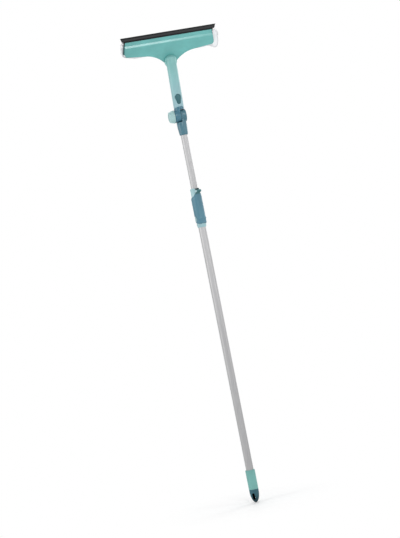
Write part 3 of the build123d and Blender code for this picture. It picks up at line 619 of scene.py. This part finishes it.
def inflate(piece):
    """Swell the cover with cloth, held where it grips the hook strips, and cap each point's way."""
    start = [vertex.co.copy() for vertex in piece.data.vertices]
    held = piece.vertex_groups.new(name="held")
    for vertex in piece.data.vertices:
        x, w, _ = head_local(vertex.co)
        if w < PAD_FRONT + PAD_VOXEL / 2 and abs(x) < FOAM_END:
            held.add([vertex.index], 1.0, "REPLACE")
    cloth = piece.modifiers.new("cloth", "CLOTH")
    cloth.settings.quality = CLOTH_QUALITY
    cloth.settings.mass = CLOTH_MASS
    cloth.settings.bending_stiffness = CLOTH_BENDING
    cloth.settings.use_pressure = True
    cloth.settings.uniform_pressure_force = CLOTH_PRESSURE
    cloth.settings.vertex_group_mass = "held"
    cloth.settings.effector_weights.gravity = 0.0
    cloth.point_cache.frame_start = 1
    cloth.point_cache.frame_end = CLOTH_FRAMES
    for number in range(1, CLOTH_FRAMES + 1):
        bpy.context.scene.frame_set(number)
    swollen = settled_mesh(piece)
    piece.modifiers.clear()
    for vertex, before, after in zip(piece.data.vertices, start, swollen.vertices):
        way = after.co - before
        if way.length > PAD_SWELL:
            way *= PAD_SWELL / way.length
        vertex.co = before + way
    bpy.context.scene.frame_set(1)


def rest_on_carrier(mesh):
    """Bring back the points that have gone past the pad's front."""
    for vertex in mesh.vertices:
        x, w, u = head_local(vertex.co)
        if w < PAD_FRONT:
            vertex.co = head_point(x, PAD_FRONT, u)


def pile_height(point):
    """Loops of the pile: soft lumps, uneven in size."""
    return sum(share * noise.noise(point * scale + Vector(offset)) for share, scale, offset in PILE_LUMPS)


def raise_pile(mesh):
    ways = [vertex.normal.copy() for vertex in mesh.vertices]
    for vertex, way in zip(mesh.vertices, ways):
        _, w, _ = head_local(vertex.co)
        share = smooth_step(w, PAD_FRONT + PILE_START, PAD_FRONT + PILE_FULL)
        vertex.co += way * (PILE_DEPTH * share * pile_height(vertex.co))


def soft_pad():
    outline = rounded_outline(PAD_SHRINK, PAD_CORNER_STEPS)
    piece = new_object("microfibre_pad", slab_mesh(outline, PAD_FRONT, cover_high[1] - 2 * PAD_SHRINK))
    remesh = piece.modifiers.new("remesh", "REMESH")
    remesh.mode = "VOXEL"
    remesh.voxel_size = PAD_VOXEL
    settle(piece)
    slacken(piece.data)
    inflate(piece)
    rest_on_carrier(piece.data)
    round_off = piece.modifiers.new("round", "SUBSURF")
    round_off.levels = 1
    settle(piece)
    raise_pile(piece.data)
    piece.data.shade_smooth()
    return piece


def sewn_piece(name, verts, faces):
    mesh = new_mesh(name, verts, faces)
    mesh.shade_smooth()
    return new_object(name, mesh)


def add_strand(verts, faces, rings, first, across, sides):
    """A thin strand through rings of a centre and a radius, closed at its far end."""
    start = len(verts)
    for centre, radius in rings:
        for corner in range(sides):
            angle = corner * math.tau / sides
            verts.append(centre + (first * math.cos(angle) + across * math.sin(angle)) * radius)
    last = len(verts) - sides
    for near in range(start, last, sides):
        for corner in range(sides):
            a = near + corner
            b = near + (corner + 1) % sides
            faces.append((a, b, b + sides, a + sides))
    faces.append(tuple(range(last, last + sides)))


def add_tuft(verts, faces, root, way, side, length):
    """One bent tuft of pile."""
    rings = []
    for rise, lean, radius in TUFT_SHAPE:
        rings.append((root + way * (length * rise) + side * (length * lean), TUFT_RADIUS * radius))
    add_strand(verts, faces, rings, side, way.cross(side).normalized(), TUFT_SIDES)


def pad_pile(pad):
    """Loose tufts of the pile over the pad's back and sides."""
    chance = np.random.default_rng(TUFT_SEED)
    polygons = [face for face in pad.data.polygons if head_local(face.center)[1] > PAD_FRONT + TUFT_START]
    areas = np.array([face.area for face in polygons])
    picks = chance.choice(len(polygons), TUFTS, p=areas / areas.sum())
    verts = []
    faces = []
    for pick in picks:
        face = polygons[pick]
        corners = [pad.data.vertices[index].co for index in face.vertices]
        shares = chance.dirichlet(np.ones(len(corners)))
        root = sum((corner * share for corner, share in zip(corners, shares)), Vector())
        lean = Vector(chance.normal(0, 1, 3))
        side = (lean - face.normal * lean.dot(face.normal)).normalized()
        add_tuft(verts, faces, root, face.normal, side, TUFT_LENGTH * chance.uniform(TUFT_SHORTEST, 1.0))
    return sewn_piece("pad_pile", verts, faces)


def edge_path(pad):
    """Points round the pad's edge with the way out at each, found on its surface."""
    corners = [vertex.co for vertex in pad.data.vertices]
    surface = BVHTree.FromPolygons(corners, [tuple(face.vertices) for face in pad.data.polygons])
    outline = rounded_outline(0.0, EDGE_CORNER_STEPS)
    level = PAD_FRONT + BINDING_WIDTH * BINDING_LEVEL
    path = []
    for index, (x, u) in enumerate(outline):
        next_x, next_u = outline[(index + 1) % len(outline)]
        pieces = max(1, round(math.hypot(next_x - x, next_u - u) / EDGE_STEP))
        path += [(x + (next_x - x) * k / pieces, u + (next_u - u) * k / pieces) for k in range(pieces)]
    found = []
    for index, (x, u) in enumerate(path):
        before = path[index - 1]
        after = path[(index + 1) % len(path)]
        along = Vector((after[0] - before[0], after[1] - before[1])).normalized()
        out = Vector((along.y, -along.x))
        source = head_point(x + out.x * CAST_FROM, level, u - droop(x, u) + out.y * CAST_FROM)
        way = (U_DIR * out.y + Vector((out.x, 0, 0))).normalized()
        hit = surface.ray_cast(source, -way, CAST_REACH)
        if hit[0] is not None:
            found.append((hit[0], way))
    return found


def pad_binding(path):
    """The folded tape that is sewn round the pad's edge."""
    verts = []
    for centre, way in path:
        for across, out in BINDING_SECTION:
            verts.append(centre + W_DIR * (BINDING_WIDTH * across) + way * (BINDING_BULGE * out))
    rows = len(path)
    wide = len(BINDING_SECTION)
    faces = []
    for row in range(rows):
        near = row * wide
        far = (row + 1) % rows * wide
        faces += [(near + k, far + k, far + (k + 1) % wide, near + (k + 1) % wide) for k in range(wide)]
    return sewn_piece("pad_binding", verts, faces)


def add_stitch(verts, faces, centre, along, up):
    """One stitch: a thread that dips into the tape at both ends."""
    start = len(verts)
    rings = []
    for reach, rise, radius in STITCH_SHAPE:
        middle = centre + along * (STITCH_LENGTH * reach) + up * (STITCH_RADIUS * rise)
        rings.append((middle, STITCH_RADIUS * radius))
    add_strand(verts, faces, rings, up, along.cross(up).normalized(), STITCH_SIDES)
    faces.append(tuple(range(start + STITCH_SIDES - 1, start - 1, -1)))


def pad_stitches(path):
    """A row of stitches along the tape."""
    verts = []
    faces = []
    travelled = 0.0
    due = 0.0
    for index, (centre, way) in enumerate(path):
        after, after_way = path[(index + 1) % len(path)]
        span = (after - centre).length
        while due < travelled + span:
            share = (due - travelled) / span
            up = way.lerp(after_way, share).normalized()
            spot = centre.lerp(after, share)
            spot = spot + W_DIR * (BINDING_WIDTH * STITCH_ACROSS) + up * (BINDING_BULGE * STITCH_OUT)
            add_stitch(verts, faces, spot, (after - centre).normalized(), up)
            due += STITCH_PITCH
        travelled += span
    return sewn_piece("pad_stitches", verts, faces)


pad = soft_pad()
pad_edge = edge_path(pad)
pad_pieces = [pad, pad_pile(pad), pad_binding(pad_edge), pad_stitches(pad_edge)]
for piece, finish in zip(pad_pieces, (pile_white, pile_white, binding_white, thread_white)):
    piece.data.materials.append(finish)
    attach(piece, "head")
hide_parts("microfibre_cover", "foam_core")


def pressed_spring():
    """The button's spring, as a mesh of its own on the head in place of the CAD part."""
    wire = nodes["button_spring"]
    spring = new_object("button_coil", wire.data.copy())
    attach(spring, "head")
    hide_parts("button_spring")
    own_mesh(spring)


pressed_spring()


# Studio: a pale floor just under the cap's tip, white all round, and soft lamps. The floor keeps its shadow
# near the pole, and from FLOOR_NEAR to FLOOR_FAR it turns into the white of the background.
STAGE_WHITE = 1.0
WORLD_LIGHT = 0.48
WORLD_TINT = (0.985, 0.99, 1.0, 1.0)
FLOOR_GAP = 0.0006
FLOOR_Z = cad_low.z - FLOOR_GAP
FLOOR_HALF = 30.0
FLOOR_COLOUR = (0.97, 0.97, 0.97, 1.0)
FLOOR_ROUGH = 0.6
FLOOR_NEAR = 0.05
FLOOR_FAR = 0.33

# Each lamp's place, the point that it faces, its width and height, and its power.
LAMPS = {
    "key": ((-3.0, -0.7, 1.3), (0, 0, 0.8), 0.8, 2.4, 28),
    "front": ((0.16, -2.6, 2.1), (0, 0, 1.45), 1.0, 0.7, 24),
    "fill": ((2.2, -2.1, 1.2), (0, 0, 0.8), 0.5, 2.2, 19),
    "left_rim": ((-2.5, 0.3, 1.28), (0, 0, 1.28), 1.6, 0.4, 7),
    "top": ((0.2, 0.9, 3.1), (0, 0, 1.4), 1.6, 1.6, 15),
    "right_rim": ((2.4, 1.3, 2.0), (0, 0, 1.2), 1.2, 1.8, 22),
}


def white_world():
    """Soft light from all round, and plain white where the background is seen."""
    world = bpy.data.worlds.new("studio")
    bpy.context.scene.world = world
    world.use_nodes = True
    world.node_tree.nodes.clear()
    n = Nodes(world.node_tree)
    light = n.add("ShaderNodeBackground")
    light.inputs["Color"].default_value = WORLD_TINT
    light.inputs["Strength"].default_value = WORLD_LIGHT
    white = n.add("ShaderNodeBackground")
    white.inputs["Color"].default_value = (1, 1, 1, 1)
    white.inputs["Strength"].default_value = STAGE_WHITE
    both = n.mix_shaders(n.seen_rays(), light.outputs["Background"], white.outputs["Background"])
    n.join(both, n.add("ShaderNodeOutputWorld").inputs["Surface"])


def pale_floor():
    """A wide floor, plain white where it is seen away from the pole."""
    ends = (-FLOOR_HALF, FLOOR_HALF)
    corners = [(x, y, FLOOR_Z) for y in ends for x in ends]
    floor = new_object("floor", new_mesh("floor", corners, [(0, 1, 3, 2)]))
    material = bpy.data.materials.new("pale_floor")
    material.use_nodes = True
    n = Nodes(material.node_tree)
    bsdf = n.tree.nodes["Principled BSDF"]
    bsdf.inputs["Base Color"].default_value = FLOOR_COLOUR
    bsdf.inputs["Roughness"].default_value = FLOOR_ROUGH
    white = n.add("ShaderNodeEmission")
    white.inputs["Strength"].default_value = STAGE_WHITE
    away = n.add("ShaderNodeVectorMath", operation="LENGTH")
    n.join(n.add("ShaderNodeNewGeometry").outputs["Position"], away.inputs[0])
    far = n.spread(away.outputs["Value"], start=FLOOR_NEAR, end=FLOOR_FAR)
    shown = n.calc("MULTIPLY", far, n.seen_rays())
    both = n.mix_shaders(shown, bsdf.outputs["BSDF"], white.outputs["Emission"])
    n.join(both, n.tree.nodes["Material Output"].inputs["Surface"])
    floor.data.materials.append(material)


def soft_lamp(name, place, target, width, height, power):
    lamp = bpy.data.lights.new(name, "AREA")
    lamp.shape = "RECTANGLE"
    lamp.size = width
    lamp.size_y = height
    lamp.energy = power
    holder = new_object(name, lamp)
    holder.location = place
    holder.rotation_mode = "QUATERNION"
    holder.rotation_quaternion = (Vector(target) - Vector(place)).to_track_quat("-Z", "Y")


# Camera: level with the pole's middle, turned to the head's left, and rolled so that the pole leans.
SCALE = 0.00328
IMAGE_LONG = 538
CAMERA_TURN = math.radians(12)
CAMERA_ROLL = math.radians(11.14)
CAMERA_DISTANCE = 5.1
CAMERA_SIDE = -0.033
CAMERA_HEIGHT = 0.711
CAMERA_CLIP = 200.0
SENSOR_WIDTH = 36.0
PICTURE_RISE = 0.4 * SCALE


def photo_camera():
    """The camera at the photograph's viewing angle; SCALE is a pixel's size at the pole, in metres."""
    right = Vector((math.cos(CAMERA_TURN), -math.sin(CAMERA_TURN), 0))
    ahead = Vector((math.sin(CAMERA_TURN), math.cos(CAMERA_TURN), 0))
    image_right = right * math.cos(CAMERA_ROLL) - UP * math.sin(CAMERA_ROLL)
    image_up = right * math.sin(CAMERA_ROLL) + UP * math.cos(CAMERA_ROLL)
    place = right * CAMERA_SIDE + UP * CAMERA_HEIGHT - ahead * CAMERA_DISTANCE
    place -= image_up * PICTURE_RISE
    data = bpy.data.cameras.new("camera")
    data.sensor_width = SENSOR_WIDTH
    data.lens = SENSOR_WIDTH * CAMERA_DISTANCE / SCALE / IMAGE_LONG
    data.clip_end = CAMERA_CLIP
    camera = new_object("camera", data)
    turn = Matrix((image_right, image_up, -ahead)).transposed().to_4x4()
    camera.matrix_world = Matrix.Translation(place) @ turn
    bpy.context.scene.camera = camera


bpy.context.scene.view_settings.view_transform = "Standard"
white_world()
pale_floor()
for name, setup in LAMPS.items():
    soft_lamp(name, *setup)
photo_camera()
